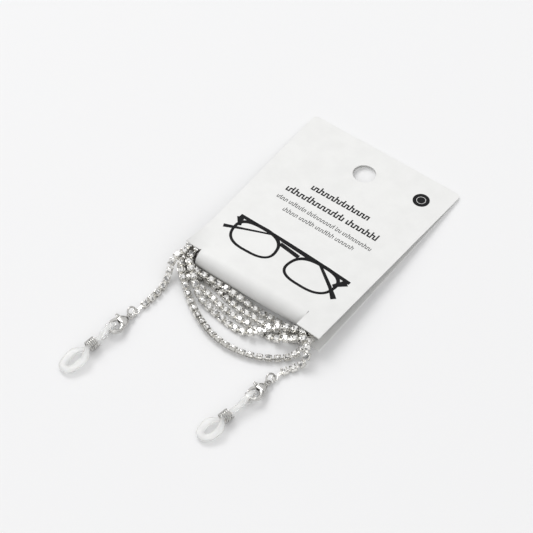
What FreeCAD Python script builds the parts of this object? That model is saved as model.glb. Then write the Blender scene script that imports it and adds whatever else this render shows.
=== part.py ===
"""Eyeglass retainer chain wound on its folded carrier card.

A rhinestone cup chain is wound round the fold of a two-panel card. Each free end carries an end
connector, a jump ring, a lobster clasp with a sprung lever, and a silicone temple loop with a
sliding coil. Millimetres. The origin is the centre of the card's hang hole on the surface that the
card lies on, +Y runs towards the card's hanging edge, +Z is up.
"""
import FreeCAD, Part
import math
import os

import Sketcher
from FreeCAD import Placement, Rotation, Vector

DIMENSIONS = {
    # carrier card
    "card_width": 60.0,
    "card_length": 80.0,
    "card_taper": 3.0,
    "card_thickness": 0.35,
    "card_centre": 1.2,
    "card_slant": 0.5,
    "corner_radius": 1.8,
    "hang_hole_diameter": 8.0,
    "hang_hole_margin": 12.0,
    "front_rise": 7.1,
    "front_arch": 2.3,
    "ear_curl": 5.5,
    "fold_setback": 6.8,
    "tongue_left": 22.7,
    "tongue_right": 20.3,
    "slit_width": 0.8,
    # cup chain
    "chain_pitch": 3.0,
    "cup_width": 2.24,
    "cup_bottom": 0.95,
    "cup_rim": 0.3,
    "cup_wall": 0.22,
    "cup_floor": 0.25,
    "claw_width": 0.38,
    "claw_rise": 0.5,
    "stone_girdle": 2.06,
    "stone_table": 1.24,
    "stone_girdle_height": 0.44,
    "stone_girdle_edge": 0.12,
    "stone_crown": 0.39,
    "stone_pavilion": 1.05,
    "link_length": 0.44,
    "link_width": 0.8,
    "link_thickness": 0.35,
    "link_height": 0.75,
    # end connector and jump ring
    "connector_eye_radius": 0.95,
    "connector_wire_radius": 0.2,
    "connector_reach": 4.2,
    "connector_width": 1.1,
    "ring_radius": 1.65,
    "ring_wire_radius": 0.32,
    # lobster clasp
    "clasp_eye_outer_radius": 1.25,
    "clasp_eye_hole_radius": 0.75,
    "clasp_eye_thickness": 0.8,
    "clasp_thickness": 2.0,
    "hook_radius": 2.45,
    "hook_wire_radius": 0.62,
    "hook_centre": 6.6,
    "lever_thickness": 0.76,
    "lever_slot": 0.9,
    "rivet_radius": 0.3,
    "rivet_clearance": 0.04,
    "lever_spring_length": 1.52,
    # temple loop and coil slider
    "silicone_radius": 0.72,
    "coil_radius": 1.85,
    "coil_wire_radius": 0.27,
    "coil_pitch": 0.57,
    "coil_length": 3.42,
}

# U-turns run round the tongue's two ends on an inner and an outer track, in three layers.
TURN_Y = -62.5
TURN_X = {"left": -20.9, "right": 18.5}
TURN_RADIUS = {"in": 4.3, "out": 6.9}
LAYER_Z = {"A": 1.33, "B": 3.30, "C": 5.27}
WINDING = [("out", "C"), ("out", "B"), ("out", "A"), ("in", "A"), ("in", "B"), ("in", "C")]
POLYGON_REACH = 1.0 / math.cos(math.radians(22.5))

# Hand-laid points of the strands in front of the fold, right to left, and of both free tails:
# x, y, z and the lean of the stones, in degrees.
FRONT_STRANDS = [
    [(25.4, -62.5, 5.30, 0), (25.6, -66.4, 5.35, 0), (26.1, -69.6, 4.70, 4),
     (25.2, -72.8, 2.50, 12), (23.5, -75.8, 1.20, 20), (20.7, -78.6, 1.10, 28),
     (16.4, -81.5, 1.10, 36), (10.5, -83.5, 1.10, 44), (4.2, -84.1, 1.10, 48),
     (-2.3, -83.3, 1.10, 46), (-8.3, -81.1, 1.10, 40), (-14.0, -77.9, 1.10, 28),
     (-18.4, -74.8, 1.80, 14), (-21.9, -72.2, 3.30, 6), (-25.6, -69.2, 3.35, 0),
     (-27.8, -65.6, 3.30, 0), (-27.8, -62.5, 3.30, 0)],
    [(25.4, -62.5, 3.30, 0), (25.2, -65.4, 3.30, 0), (22.6, -68.9, 3.30, 2),
     (20.0, -71.3, 3.30, 4), (17.1, -73.0, 2.90, 0), (13.8, -73.2, 1.10, 4),
     (9.0, -73.1, 0.98, 5), (3.0, -73.1, 0.98, -5), (-4.0, -72.9, 0.98, 6),
     (-9.8, -71.7, 0.98, -3), (-15.6, -70.2, 1.00, 5), (-20.6, -69.7, 1.25, 0),
     (-25.0, -68.6, 1.33, 0), (-27.8, -65.4, 1.33, 0), (-27.8, -62.5, 1.33, 0)],
    [(25.4, -62.5, 1.33, 0), (25.4, -65.4, 1.33, 0), (22.6, -69.0, 1.33, 0),
     (18.5, -69.8, 1.15, 4), (12.0, -69.9, 0.98, -5), (5.0, -69.9, 0.98, 6),
     (-2.0, -69.8, 0.98, -3), (-7.6, -68.6, 0.98, 5), (-13.0, -67.0, 1.00, 0),
     (-18.8, -66.8, 1.28, 0), (-22.8, -66.8, 1.33, 0), (-25.2, -64.3, 1.33, 0),
     (-25.2, -62.5, 1.33, 0)],
    [(22.8, -62.5, 1.33, 0), (22.8, -64.3, 1.33, 0), (20.3, -66.8, 1.33, 0),
     (16.5, -66.8, 1.05, 5), (11.0, -66.8, 0.98, 8), (5.0, -66.8, 1.00, -4),
     (0.5, -66.9, 1.60, 0), (-4.0, -67.0, 3.00, 0), (-9.0, -66.9, 3.10, -4),
     (-14.0, -66.8, 3.05, 4), (-18.8, -66.8, 3.25, 0), (-22.8, -66.8, 3.30, 0),
     (-25.2, -64.3, 3.30, 0), (-25.2, -62.5, 3.30, 0)],
    [(22.8, -62.5, 3.30, 0), (22.8, -64.3, 3.30, 0), (20.3, -66.8, 3.30, 0),
     (16.6, -67.7, 3.30, 4), (13.4, -70.2, 3.20, 2), (11.0, -73.4, 3.15, -3),
     (8.4, -76.3, 2.90, 0), (4.6, -77.0, 1.10, -5), (-0.5, -76.7, 0.98, 6),
     (-5.6, -75.9, 0.98, 6), (-10.0, -75.1, 1.40, 6), (-13.5, -74.3, 2.30, 6),
     (-16.6, -72.6, 3.60, 4), (-19.2, -70.3, 5.00, 2), (-21.8, -68.2, 5.50, 0),
     (-24.2, -66.4, 5.30, 0), (-25.2, -64.2, 5.27, 0), (-25.2, -62.5, 5.27, 0)],
]
LEFT_TAIL = [(-27.2, -86.2, 1.05, 6), (-26.8, -83.4, 1.05, 10), (-26.6, -79.4, 1.05, 14),
             (-26.8, -76.2, 1.10, 12), (-27.6, -72.9, 2.20, 8), (-28.9, -69.9, 4.50, 3),
             (-29.0, -67.0, 5.30, 0), (-28.0, -64.6, 5.30, 0), (-27.8, -62.5, 5.27, 0)]
RIGHT_TAIL = [(22.8, -62.5, 5.27, 0), (22.8, -66.0, 5.35, 0), (23.3, -69.0, 6.60, 0),
              (25.6, -71.0, 6.85, 4), (28.2, -72.7, 5.45, 6), (29.1, -75.0, 3.10, 10),
              (28.0, -77.2, 1.60, 14), (26.4, -79.2, 1.05, 12), (25.2, -81.4, 1.05, 12)]

# How each end lies: headings turn from -Y towards -X, pitch lifts the far end, in degrees.
ENDS = {
    "left": {"chain_heading": 6.0, "ring_roll": 0.0, "clasp_heading": 13.0, "clasp_pitch": 7.0,
             "clasp_roll": 0.0, "loop_heading": 8.0, "loop_pitch": -1.4, "temple_roll": 15.0,
             "coil_place": 7.7, "waist_end": 10.6, "tip": 20.6},
    "right": {"chain_heading": 12.0, "ring_roll": 14.0, "clasp_heading": 9.0, "clasp_pitch": 7.0,
              "clasp_roll": -8.0, "loop_heading": 11.0, "loop_pitch": -1.4, "temple_roll": 9.0,
              "coil_place": 10.0, "waist_end": 12.1, "tip": 20.9},
}
BAR_SIDE = 0.2
LOOP_SIDE = 0.15
TEMPLE_HALF_WIDTH = 3.3


# ---------------------------------------------------------------- document helpers

def make_sheet(doc):
    """Keep every driving dimension in the spreadsheet under its own alias."""
    sheet = doc.addObject("Spreadsheet::Sheet", "Dimensions")
    for row, (alias, value) in enumerate(DIMENSIONS.items(), start=1):
        sheet.set(f"A{row}", alias.replace("_", " "))
        sheet.set(f"B{row}", str(value))
        sheet.setAlias(f"B{row}", alias)
    doc.recompute()
    return sheet


def bind(obj, **expressions):
    """Bind properties to expressions of spreadsheet aliases, such as Length='card_width / 2'."""
    for prop, expression in expressions.items():
        words = [f"Dimensions.{w}" if w in DIMENSIONS else w for w in expression.split()]
        obj.setExpression(prop, " ".join(words))


def part_object(doc, kind, name, place=None, **expressions):
    """A Part primitive with bound sizes."""
    obj = doc.addObject(f"Part::{kind}", name)
    bind(obj, **expressions)
    if place is not None:
        obj.Placement = place
    return obj


def attach(feature, body, plane="XY_Plane", offset=None):
    """Lay a sketch or a primitive on one of its own body's origin planes."""
    origin_plane = next(f for f in body.Origin.OriginFeatures if f.Role == plane)
    feature.AttachmentSupport = [(origin_plane, "")]
    feature.MapMode = "FlatFace"
    if offset is not None:
        feature.AttachmentOffset = offset
    return feature


def new_sketch(body, name, plane="XY_Plane"):
    return attach(body.newObject("Sketcher::SketchObject", name), body, plane)


def constrain(sketch, name, expression, *definition):
    """Add a named dimension to a sketch and bind it to the spreadsheet."""
    index = sketch.addConstraint(Sketcher.Constraint(*definition))
    sketch.renameConstraint(index, name)
    bind(sketch, **{f"Constraints.{name}": expression})


def add_outline(sketch, points):
    """A closed outline of straight lines, each corner pinned where the points put it."""
    corners = [Vector(x, y, 0) for x, y in points]
    lines = []
    for start, end in zip(corners, corners[1:] + corners[:1]):
        lines.append(sketch.addGeometry(Part.LineSegment(start, end), False))
    for first, second in zip(lines, lines[1:] + lines[:1]):
        sketch.addConstraint(Sketcher.Constraint("Coincident", first, 2, second, 1))
    for line, corner in zip(lines, corners):
        sketch.addConstraint(Sketcher.Constraint("DistanceX", line, 1, corner.x))
        sketch.addConstraint(Sketcher.Constraint("DistanceY", line, 1, corner.y))
    return lines


def add_circle(sketch, name, x, y, radius_expression, start_radius):
    """A circle at a fixed place with a bound radius."""
    circle = sketch.addGeometry(Part.Circle(Vector(x, y, 0), Vector(0, 0, 1), start_radius), False)
    sketch.addConstraint(Sketcher.Constraint("DistanceX", -1, 1, circle, 3, x))
    sketch.addConstraint(Sketcher.Constraint("DistanceY", -1, 1, circle, 3, y))
    constrain(sketch, name, radius_expression, "Radius", circle, start_radius)


def pad(body, name, sketch, length):
    """A pad that grows equally to both sides of its sketch."""
    feature = body.newObject("PartDesign::Pad", name)
    feature.Profile = sketch
    feature.Midplane = True
    bind(feature, Length=length)
    body.Tip = feature
    return feature


def pocket_through(body, name, sketch):
    feature = body.newObject("PartDesign::Pocket", name)
    feature.Profile = sketch
    feature.Type = "ThroughAll"
    feature.Midplane = True
    body.Tip = feature
    return feature


def solid_feature(doc, name, shape, place=None):
    """A computed solid, for forms that no primitive or sketch gives."""
    obj = doc.addObject("Part::Feature", name)
    obj.Shape = shape
    if place is not None:
        obj.Placement = place
    return obj


# ---------------------------------------------------------------- carrier card

def card_height(size, x, y):
    """Height of the front panel's upper face above the table."""
    along = (size.hang_hole_margin - y) / size.card_length
    centre = size.card_centre - size.card_slant * along
    across = 2.0 * (x - centre) / (size.card_width - size.card_taper * along)
    flat = 2.0 * size.card_thickness
    height = flat + (size.front_rise - flat) * along
    height += size.front_arch * along ** 2 * (1.0 - across ** 2)
    curl_y = max(0.0, (-55.0 - y) / 13.0)
    curl_x = max(0.0, (-22.0 - x) / 6.0)
    return height + size.ear_curl * min(1.0, curl_y) ** 1.5 * min(1.0, curl_x) ** 1.5


def card_corners(size):
    """The card's plan outline: two foot corners, then two corners at the hanging edge."""
    top = size.hang_hole_margin
    foot = top - size.card_length
    foot_centre = size.card_centre - size.card_slant
    half_foot = (size.card_width - size.card_taper) / 2.0
    half_top = size.card_width / 2.0
    return [(foot_centre - half_foot, foot), (foot_centre + half_foot, foot),
            (size.card_centre + half_top, top), (size.card_centre - half_top, top)]


def fold_line(size):
    return size.hang_hole_margin - size.card_length + size.fold_setback


def make_back_panel(doc, size):
    body = doc.addObject("PartDesign::Body", "card_back_panel")
    outline = new_sketch(body, "BackOutline")
    corners = [Vector(x, y, 0) for x, y in card_corners(size)]
    for start, end in zip(corners, corners[1:] + corners[:1]):
        outline.addGeometry(Part.LineSegment(start, end), False)
    for line in range(4):
        outline.addConstraint(Sketcher.Constraint("Coincident", line, 2, (line + 1) % 4, 1))
    outline.addConstraint(Sketcher.Constraint("Horizontal", 0))
    outline.addConstraint(Sketcher.Constraint("Horizontal", 2))
    constrain(outline, "foot_width", "card_width - card_taper", "DistanceX", 0, 1, 0, 2,
              size.card_width - size.card_taper)
    constrain(outline, "top_width", "card_width", "DistanceX", 2, 2, 2, 1, size.card_width)
    constrain(outline, "top_edge", "hang_hole_margin", "DistanceY", -1, 1, 2, 1,
              size.hang_hole_margin)
    constrain(outline, "foot_edge", "card_length - hang_hole_margin", "DistanceY", 0, 1, -1, 1,
              size.card_length - size.hang_hole_margin)
    constrain(outline, "top_right", "card_centre + card_width / 2", "DistanceX", -1, 1, 2, 1,
              size.card_centre + size.card_width / 2.0)
    constrain(outline, "foot_right", "card_centre - card_slant + ( card_width - card_taper ) / 2",
              "DistanceX", -1, 1, 0, 2, corners[1].x)
    sheet_pad = body.newObject("PartDesign::Pad", "BackSheet")
    sheet_pad.Profile = outline
    bind(sheet_pad, Length="card_thickness")
    body.Tip = sheet_pad

    doc.recompute()
    corner_round = body.newObject("PartDesign::Fillet", "BackCorners")
    corner_round.Base = (sheet_pad, upright_edges_above(sheet_pad.Shape, 0.0))
    bind(corner_round, Radius="corner_radius")
    body.Tip = corner_round

    slot = new_sketch(body, "TongueGap")
    foot = size.hang_hole_margin - size.card_length
    left = -size.tongue_left - size.slit_width
    right = size.tongue_right + size.slit_width
    add_outline(slot, [(left, foot - 1.0), (right, foot - 1.0), (right, fold_line(size)),
                       (left, fold_line(size))])
    pocket_through(body, "TongueGapCut", slot)

    hole = new_sketch(body, "HangHoleCircle")
    add_circle(hole, "hang_hole_radius", 0.0, 0.0, "hang_hole_diameter / 2",
               size.hang_hole_diameter / 2.0)
    pocket_through(body, "HangHole", hole)
    return body


def upright_edges_above(shape, lowest_y):
    """Names of the vertical edges beyond a given y."""
    names = []
    for number, edge in enumerate(shape.Edges, start=1):
        first, last = edge.Vertexes[0].Point, edge.Vertexes[-1].Point
        upright = abs(first.x - last.x) + abs(first.y - last.y) < 1e-6
        if upright and first.y > lowest_y:
            names.append(f"Edge{number}")
    return names


def panel_prism(size, overlap):
    """The front panel's plan outline as a tall prism, without the gap at the tongue."""
    corners = [Vector(x, y, -overlap) for x, y in card_corners(size)]
    prism = Part.Face(Part.makePolygon(corners + corners[:1])).extrude(Vector(0, 0, 40.0))
    uprights = [e for e in prism.Edges if abs(e.tangentAt(e.FirstParameter).z) > 0.99]
    prism = prism.makeFillet(size.corner_radius, [e for e in uprights if e.CenterOfMass.y > 0.0])
    gap_width = size.tongue_left + size.tongue_right + 2.0 * size.slit_width
    gap = Part.makeBox(gap_width, 20.0, 60.0,
                       Vector(-size.tongue_left - size.slit_width, fold_line(size) - 20.0, -9.0))
    return prism.cut(gap)


def make_front_panel(doc, size):
    """The bowed upper panel: a draped sheet trimmed to the outline and holed for the hanger."""
    corners = card_corners(size)
    low_x, high_x = corners[3][0] - 1.0, corners[2][0] + 1.0
    low_y, high_y = corners[0][1] - 1.0, corners[2][1] + 1.0
    columns, rows = 25, 33
    grid = []
    for i in range(columns):
        x = low_x + (high_x - low_x) * i / (columns - 1)
        ys = [low_y + (high_y - low_y) * j / (rows - 1) for j in range(rows)]
        grid.append([Vector(x, y, card_height(size, x, y)) for y in ys])
    surface = Part.BSplineSurface()
    surface.interpolate(grid)
    sheet = surface.toShape().extrude(Vector(0, 0, -size.card_thickness))
    panel = sheet.common(panel_prism(size, 5.0))
    hole = Part.makeCylinder(size.hang_hole_diameter / 2.0, 40.0, Vector(0, 0, -5.0))
    return solid_feature(doc, "card_front_panel", panel.cut(hole).Solids[0])


def make_fold_spine(doc, size):
    """The half-round turn between the panels, lofted across the tongue."""
    fold_y = fold_line(size)
    sections = []
    stations = 9
    for i in range(stations):
        share = i / (stations - 1)
        x = -size.tongue_left + (size.tongue_left + size.tongue_right) * share
        outer = card_height(size, x, fold_y) / 2.0
        inner = outer - size.card_thickness
        centre = Vector(x, fold_y, outer)

        def rim(radius, angle):
            turn = math.radians(angle)
            return centre + Vector(0, -radius * math.sin(turn), radius * math.cos(turn))

        outer_arc = Part.Arc(rim(outer, 0), rim(outer, 90), rim(outer, 180)).toShape()
        inner_arc = Part.Arc(rim(inner, 180), rim(inner, 90), rim(inner, 0)).toShape()
        foot_edge = Part.makeLine(rim(outer, 180), rim(inner, 180))
        top_edge = Part.makeLine(rim(inner, 0), rim(outer, 0))
        sections.append(Part.Wire([outer_arc, foot_edge, inner_arc, top_edge]))
    return solid_feature(doc, "card_fold_spine", Part.makeLoft(sections, True, False))


# ---------------------------------------------------------------- cup chain

def half_turn(side, track, layer):
    """Control points of the hidden quarter turn between a side column and its hidden row."""
    radius = TURN_RADIUS[track] * POLYGON_REACH
    sign = -1.0 if side == "left" else 1.0
    points = []
    for angle in (22.5, 67.5):
        turn = math.radians(angle)
        x = TURN_X[side] + sign * radius * math.cos(turn)
        y = TURN_Y + radius * math.sin(turn)
        points.append((x, y, LAYER_Z[layer], 0))
    return points


def hidden_row(track, layer):
    """Control points of one strand inside the fold, left to right."""
    y = TURN_Y + TURN_RADIUS[track]
    straight = [(x, y, LAYER_Z[layer], 0) for x in (-15.0, -1.0, 12.5)]
    return half_turn("left", track, layer) + straight + half_turn("right", track, layer)[::-1]


def route_points():
    """The whole winding from the left tail's last cup to the right tail's last cup."""
    route = list(LEFT_TAIL)
    for number, (track, layer) in enumerate(WINDING):
        route += hidden_row(track, layer)
        route += FRONT_STRANDS[number] if number < len(FRONT_STRANDS) else RIGHT_TAIL
    return route


def quadratic_spline(poles):
    """A clamped uniform spline of degree two."""
    spans = len(poles) - 2
    curve = Part.BSplineCurve()
    curve.buildFromPolesMultsKnots(poles, [3] + [1] * (spans - 1) + [3],
                                   [float(k) for k in range(spans + 1)], False, 2)
    return curve


def chain_placements(size):
    """A placement for every cup and for every link between two cups."""
    route = route_points()
    line = quadratic_spline([Vector(*point[:3]) for point in route])
    lean = quadratic_spline([Vector(point[3], 0, 0) for point in route])
    count = int(line.length() / size.chain_pitch)
    parameters = [line.parameterAtDistance(size.chain_pitch * i) for i in range(count + 1)]
    centres = [lifted(size, line.value(u), lean.value(u).x) for u in parameters]
    cups = []
    for i, (u, centre) in enumerate(zip(parameters, centres)):
        ahead = centres[min(i + 1, count)] - centres[max(i - 1, 0)]
        cups.append(framed(centre, ahead, lean.value(u).x))
    links = []
    for before, after, u in zip(centres, centres[1:], parameters):
        links.append(framed((before + after) * 0.5, after - before, lean.value(u).x))
    return cups, links


def lifted(size, centre, lean):
    """The point raised, where it has to be, so that a cup leaned there rests on what is below."""
    turn = math.radians(abs(lean))
    on_card = centre.y > size.hang_hole_margin - size.card_length - size.cup_width / 2.0
    below = size.card_thickness if on_card and abs(centre.x) > size.tongue_right else 0.0
    rest = below + size.cup_bottom * math.cos(turn) + size.cup_width / 2.0 * math.sin(turn)
    return Vector(centre.x, centre.y, max(centre.z, rest + 0.02))


def framed(centre, ahead, lean):
    """A frame at centre with x along the chain and z up, leaned about the chain."""
    x_axis = Vector(ahead).normalize()
    y_axis = Vector(0, 0, 1).cross(x_axis).normalize()
    z_axis = x_axis.cross(y_axis)
    turn = Rotation(x_axis, y_axis, z_axis, "ZXY")
    return Placement(centre, turn.multiply(Rotation(Vector(1, 0, 0), lean)))


def make_cup_pattern(doc):
    """One square cup: a walled tray with a claw at each corner."""
    half = "cup_width / 2"
    tray = part_object(doc, "Box", "CupTray", Length="cup_width", Width="cup_width",
                       Height="cup_bottom + cup_rim")
    bind(tray, **{"Placement.Base.x": f"0 - {half}", "Placement.Base.y": f"0 - {half}",
                  "Placement.Base.z": "0 - cup_bottom"})
    well = part_object(doc, "Box", "CupWell", Length="cup_width - 2 * cup_wall",
                       Width="cup_width - 2 * cup_wall", Height="cup_bottom + cup_rim")
    bind(well, **{"Placement.Base.x": f"cup_wall - {half}",
                  "Placement.Base.y": f"cup_wall - {half}",
                  "Placement.Base.z": "cup_floor - cup_bottom"})
    cup = doc.addObject("Part::Cut", "CupShell")
    cup.Base, cup.Tool = tray, well
    claws = []
    for number, (side_x, side_y) in enumerate([(-1, -1), (1, -1), (1, 1), (-1, 1)], start=1):
        claw = part_object(doc, "Box", f"CupClaw{number}", Length="claw_width",
                           Width="claw_width", Height="claw_rise")
        near, far = f"0 - {half}", f"{half} - claw_width"
        bind(claw, **{"Placement.Base.x": near if side_x < 0 else far,
                      "Placement.Base.y": near if side_y < 0 else far,
                      "Placement.Base.z": "cup_rim"})
        claws.append(claw)
    pattern = doc.addObject("Part::MultiFuse", "CupPattern")
    pattern.Shapes = [cup] + claws
    return pattern


def make_stone_pattern(doc):
    """One octagonal stone: pavilion, girdle and crown."""
    girdle_radius = "stone_girdle / 2"
    pavilion = part_object(doc, "Cone", "StonePavilion", Radius1="stone_table / 8",
                           Radius2=girdle_radius, Height="stone_pavilion")
    bind(pavilion, **{"Placement.Base.z": "stone_girdle_height - stone_pavilion"})
    girdle = part_object(doc, "Cylinder", "StoneGirdle", Radius=girdle_radius,
                         Height="stone_girdle_edge")
    bind(girdle, **{"Placement.Base.z": "stone_girdle_height"})
    crown = part_object(doc, "Cone", "StoneCrown", Radius1=girdle_radius,
                        Radius2="stone_table / 2", Height="stone_crown")
    bind(crown, **{"Placement.Base.z": "stone_girdle_height + stone_girdle_edge"})
    round_stone = doc.addObject("Part::MultiFuse", "StoneRound")
    round_stone.Shapes = [pavilion, girdle, crown]
    return round_stone


def make_link_pattern(doc):
    """One link bar in the gap between two cups."""
    bar = part_object(doc, "Box", "LinkPattern", Length="link_length", Width="link_width",
                      Height="link_thickness")
    bind(bar, **{"Placement.Base.x": "0 - link_length / 2",
                 "Placement.Base.y": "0 - link_width / 2",
                 "Placement.Base.z": "0 - link_height"})
    return bar


def make_chain(doc, size):
    """Cups, stones and links of the winding and of both tails, each group in one node."""
    cups, links = chain_placements(size)
    foot = size.hang_hole_margin - size.card_length
    left_count = sum(1 for place in cups[:20] if place.Base.y < foot)
    right_count = sum(1 for place in cups[-14:] if place.Base.y < foot)
    last = len(cups) - right_count
    runs = {"left_tail": (0, left_count), "wound_chain": (left_count, last),
            "right_tail": (last, len(cups))}
    patterns = {"cups": (make_cup_pattern(doc), cups), "stones": (make_stone_pattern(doc), cups),
                "links": (make_link_pattern(doc), links)}
    doc.recompute()
    nodes = []
    for run, (first, end) in runs.items():
        for name, (pattern, places) in patterns.items():
            copies = []
            for place in places[first:end]:
                copy = pattern.Shape.copy()
                copy.Placement = place.multiply(pattern.Placement)
                copies.append(copy)
            nodes.append(solid_feature(doc, f"{run}_{name}", Part.makeCompound(copies)))
    return nodes, cups[0].Base, cups[-1].Base


# ---------------------------------------------------------------- end assemblies

def end_frame(centre, heading, pitch=0.0, roll=0.0):
    """A frame whose -Y runs along the heading, lifted by the pitch and rolled about itself."""
    turn = Rotation(Vector(0, 0, 1), -heading)
    turn = turn.multiply(Rotation(Vector(1, 0, 0), -pitch))
    turn = turn.multiply(Rotation(Vector(0, 1, 0), roll))
    return Placement(centre, turn)


def end_frames(size, side, last_cup):
    """The frames of one end's connector, ring, clasp and temple loop, each hung on the last."""
    lie = ENDS[side]
    connector = end_frame(last_cup, lie["chain_heading"])
    eye = connector.multVec(Vector(0, -size.connector_reach, 0))
    ring_centre_z = size.ring_radius + size.ring_wire_radius
    drop = ring_centre_z - eye.z
    ring_step = math.sqrt(size.ring_radius ** 2 - drop ** 2)
    ring_turn = end_frame(Vector(), lie["chain_heading"], roll=lie["ring_roll"])
    ring_centre = eye - ring_turn.multVec(Vector(0, ring_step, -drop))
    ring = Placement(ring_centre, ring_turn.Rotation)
    tail_drop = 0.6
    tail_step = math.sqrt(size.ring_radius ** 2 - tail_drop ** 2)
    clasp = end_frame(ring.multVec(Vector(0, -tail_step, -tail_drop)), lie["clasp_heading"],
                      lie["clasp_pitch"], lie["clasp_roll"])
    bar = Vector(BAR_SIDE + LOOP_SIDE, -size.hook_centre - size.hook_radius, 0)
    loop = end_frame(clasp.multVec(bar), lie["loop_heading"], lie["loop_pitch"])
    return {"connector": connector, "ring": ring, "clasp": clasp, "loop": loop}


def make_connector(doc, side, frame):
    """A crimped strap with a wire eye at its far end."""
    strap = part_object(doc, "Box", f"{side}ConnectorStrap", Width="connector_reach - 2.2",
                        Length="connector_width", Height="link_thickness")
    bind(strap, **{"Placement.Base.x": "0 - connector_width / 2",
                   "Placement.Base.y": "connector_eye_radius - connector_reach",
                   "Placement.Base.z": "0 - link_thickness / 2"})
    eye = part_object(doc, "Torus", f"{side}ConnectorEye", Radius1="connector_eye_radius",
                      Radius2="connector_wire_radius")
    bind(eye, **{"Placement.Base.y": "0 - connector_reach"})
    connector = doc.addObject("Part::MultiFuse", f"{side}_chain_end_connector")
    connector.Shapes = [strap, eye]
    connector.Placement = frame
    return connector


def make_jump_ring(doc, side, frame):
    """A closed wire ring that stands on edge, across its own frame's X axis."""
    body = doc.addObject("PartDesign::Body", f"{side}_jump_ring")
    ring = body.newObject("PartDesign::AdditiveTorus", f"{side}RingWire")
    bind(ring, Radius1="ring_radius", Radius2="ring_wire_radius")
    body.Tip = ring
    body.Placement = frame.multiply(Placement(Vector(), Rotation(Vector(0, 1, 0), 90)))
    return body


SHANK = [(-0.75, -0.85), (0.75, -0.85), (1.95, -2.2), (2.6, -4.0), (2.7, -5.4), (1.3, -4.7),
         (0.2, -4.35), (-2.1, -4.35), (-2.2, -2.4)]
LEVER_PIVOT = (-1.25, -3.1)
LEVER = [(-0.75, -2.55), (-0.72, -3.6), (-1.55, -5.6), (-1.75, -7.15), (-2.3, -7.2),
         (-2.45, -5.4), (-2.05, -3.7), (-3.35, -3.35), (-3.45, -2.75), (-1.8, -2.45)]
HOOK_START = -145.0
HOOK_SWEEP = 220.0


def make_clasp_body(doc, size, side, frame):
    """Tail eye, slotted shank and round hook in one casting."""
    body = doc.addObject("PartDesign::Body", f"{side}_clasp_body")
    shank = new_sketch(body, f"{side}ShankOutline")
    add_outline(shank, SHANK)
    pad(body, f"{side}Shank", shank, "clasp_thickness")

    eye = new_sketch(body, f"{side}EyeOutline")
    add_circle(eye, "eye_outer", 0.0, 0.0, "clasp_eye_outer_radius", size.clasp_eye_outer_radius)
    pad(body, f"{side}Eye", eye, "clasp_eye_thickness")

    hook = body.newObject("PartDesign::AdditiveTorus", f"{side}Hook")
    bind(hook, Radius1="hook_radius", Radius2="hook_wire_radius")
    hook.Angle3 = HOOK_SWEEP
    attach(hook, body, offset=Placement(Vector(BAR_SIDE, -size.hook_centre, 0),
                                        Rotation(Vector(0, 0, 1), HOOK_START)))
    body.Tip = hook

    start = math.radians(HOOK_START)
    tip = body.newObject("PartDesign::AdditiveSphere", f"{side}HookTip")
    bind(tip, Radius="hook_wire_radius")
    tip_centre = Vector(BAR_SIDE + size.hook_radius * math.cos(start),
                        size.hook_radius * math.sin(start) - size.hook_centre, 0)
    attach(tip, body, offset=Placement(tip_centre, Rotation()))
    body.Tip = tip

    holes = new_sketch(body, f"{side}ClaspHoles")
    add_circle(holes, "eye_hole", 0.0, 0.0, "clasp_eye_hole_radius", size.clasp_eye_hole_radius)
    add_circle(holes, "rivet_hole", *LEVER_PIVOT, "rivet_radius", size.rivet_radius)
    pocket_through(body, f"{side}ClaspDrilling", holes)

    slot = body.newObject("PartDesign::SubtractiveBox", f"{side}LeverSlot")
    slot.Length = 3.2
    slot.Width = 3.4
    bind(slot, Height="lever_slot")
    slot_corner = Vector(-3.0, -5.3, -size.lever_slot / 2.0)
    attach(slot, body, offset=Placement(slot_corner, Rotation()))
    body.Tip = slot
    body.Placement = frame
    return body


def make_lever(doc, size, side, frame):
    body = doc.addObject("PartDesign::Body", f"{side}_clasp_lever")
    outline = new_sketch(body, f"{side}LeverOutline")
    add_outline(outline, LEVER)
    pad(body, f"{side}LeverPlate", outline, "lever_thickness")
    hole = new_sketch(body, f"{side}LeverHoleCircle")
    add_circle(hole, "lever_hole", *LEVER_PIVOT, "rivet_radius + rivet_clearance",
               size.rivet_radius + size.rivet_clearance)
    pocket_through(body, f"{side}LeverHole", hole)
    body.Placement = frame
    return body


def make_rivet(doc, size, side, frame):
    place = Placement(Vector(*LEVER_PIVOT, -size.clasp_thickness / 2.0), Rotation())
    return part_object(doc, "Cylinder", f"{side}_lever_rivet", frame.multiply(place),
                       Radius="rivet_radius", Height="clasp_thickness")


def make_lever_spring(doc, side, frame):
    """The leaf behind the lever that keeps the clasp shut."""
    place = frame.multiply(Placement(Vector(-0.12, -3.95, -0.3), Rotation()))
    leaf = part_object(doc, "Box", f"{side}_lever_spring", place, Width="lever_spring_length",
                       Height="rivet_radius * 2")
    leaf.Length = 0.15
    return leaf


def rounded_loop(corners, radii):
    """A closed wire of straight runs joined by tangent arcs."""
    count = len(corners)
    starts, arcs, ends = [], [], []
    for i in range(count):
        corner = corners[i]
        back = (corners[i - 1] - corner).normalize()
        ahead = (corners[(i + 1) % count] - corner).normalize()
        half = back.getAngle(ahead) / 2.0
        setback = radii[i] / math.tan(half)
        middle = (back + ahead).normalize() * (radii[i] / math.sin(half) - radii[i])
        starts.append(corner + back * setback)
        ends.append(corner + ahead * setback)
        arcs.append(Part.Arc(starts[i], corner + middle, ends[i]).toShape())
    edges = []
    for i in range(count):
        edges.append(arcs[i])
        edges.append(Part.makeLine(ends[i], starts[(i + 1) % count]))
    return Part.Wire(edges)


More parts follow.
